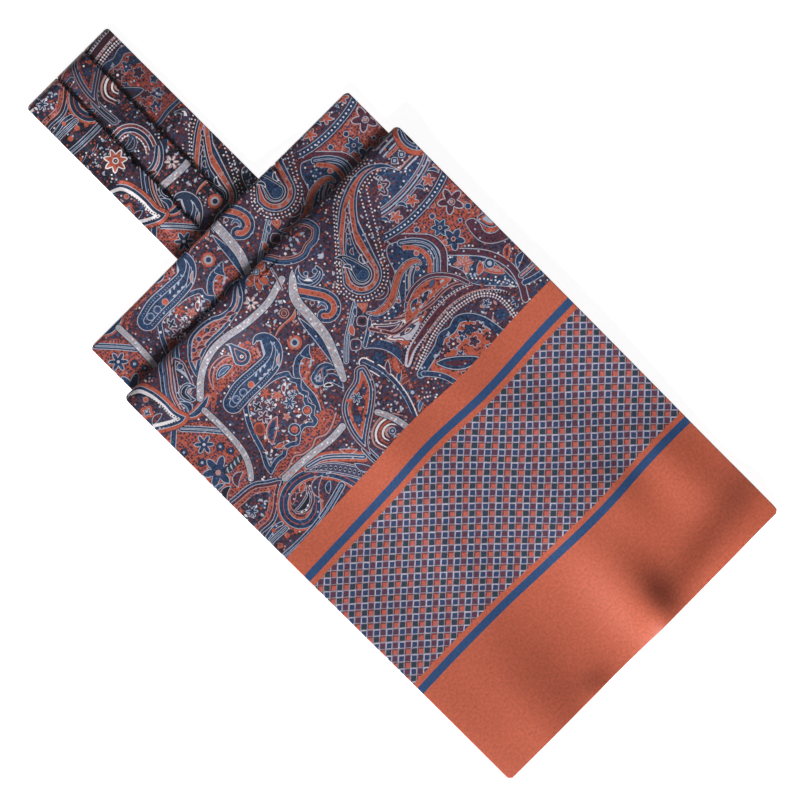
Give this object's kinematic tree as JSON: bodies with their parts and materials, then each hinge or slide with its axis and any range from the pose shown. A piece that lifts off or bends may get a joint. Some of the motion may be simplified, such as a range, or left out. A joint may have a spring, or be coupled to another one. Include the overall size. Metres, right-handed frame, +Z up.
{
  "type": "silk cravat, folded flat",
  "caption": "Silk cravat folded flat: wide blades turned back over a pleated neckband, with a paisley face, a small geometric band, stripes and a plain end.",
  "frame": {"origin": "on the surface that the cravat lies on, under the middle of its outline", "axes": "+Y along the cravat towards the neckband's fold, +X across the blades, +Z up out of the surface"},
  "size_m": [0.155, 0.3294, 0.0126],
  "materials": {
    "front_silk": "printed silk twill, soft satin sheen, paisley above, geometric band and stripes, plain rust-orange end",
    "paisley_silk": "printed silk twill, soft satin sheen, paisley in navy, plum, rust orange and pale grey-blue lines"
  },
  "bodies": {
    "root": {"front_blade": "front_silk", "rear_blade": "paisley_silk", "neckband": "paisley_silk", "neckband_back": "paisley_silk", "folded_layers": "paisley_silk"}
  },
  "joints": []
}
